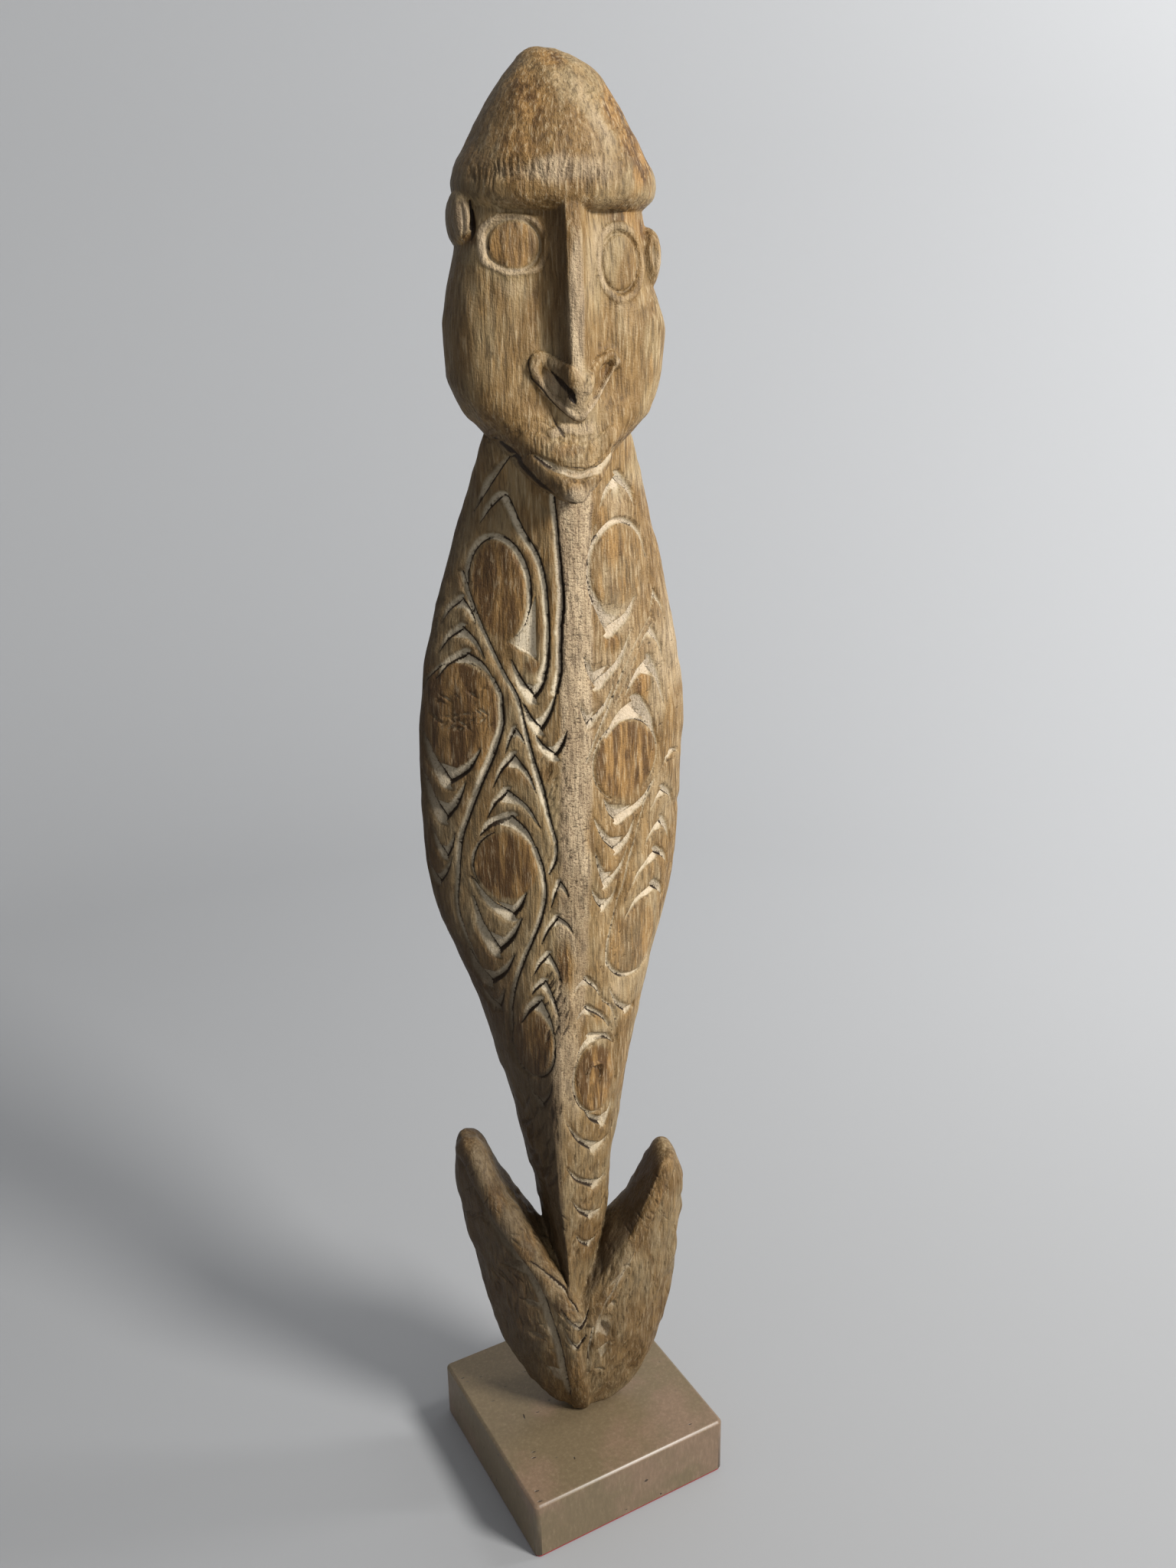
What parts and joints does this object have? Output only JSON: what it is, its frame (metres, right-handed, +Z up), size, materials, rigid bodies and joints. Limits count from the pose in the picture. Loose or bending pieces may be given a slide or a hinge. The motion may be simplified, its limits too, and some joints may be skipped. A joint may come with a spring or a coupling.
{
  "type": "sepik hook figure",
  "caption": "Slender carved wooden hook figure: capped face with a long nose, ridged body cut with chevrons and bosses, two-pronged hook below, on a square stone block.",
  "frame": {"origin": "middle of the felt's underside, where the stand rests", "axes": "+Z up along the figure, -Y the way the figure faces, +X to the viewer's right"},
  "size_m": [0.1174, 0.1174, 0.6111],
  "materials": {
    "wood": "hand-carved and worn to a low sheen, pale clay residue in the cuts",
    "stone": "polished beige stone with small dark pits",
    "felt": "dark red felt"
  },
  "bodies": {
    "root": {"hook_figure": "wood", "stone_base": "stone", "felt_pad": "felt"}
  },
  "joints": []
}
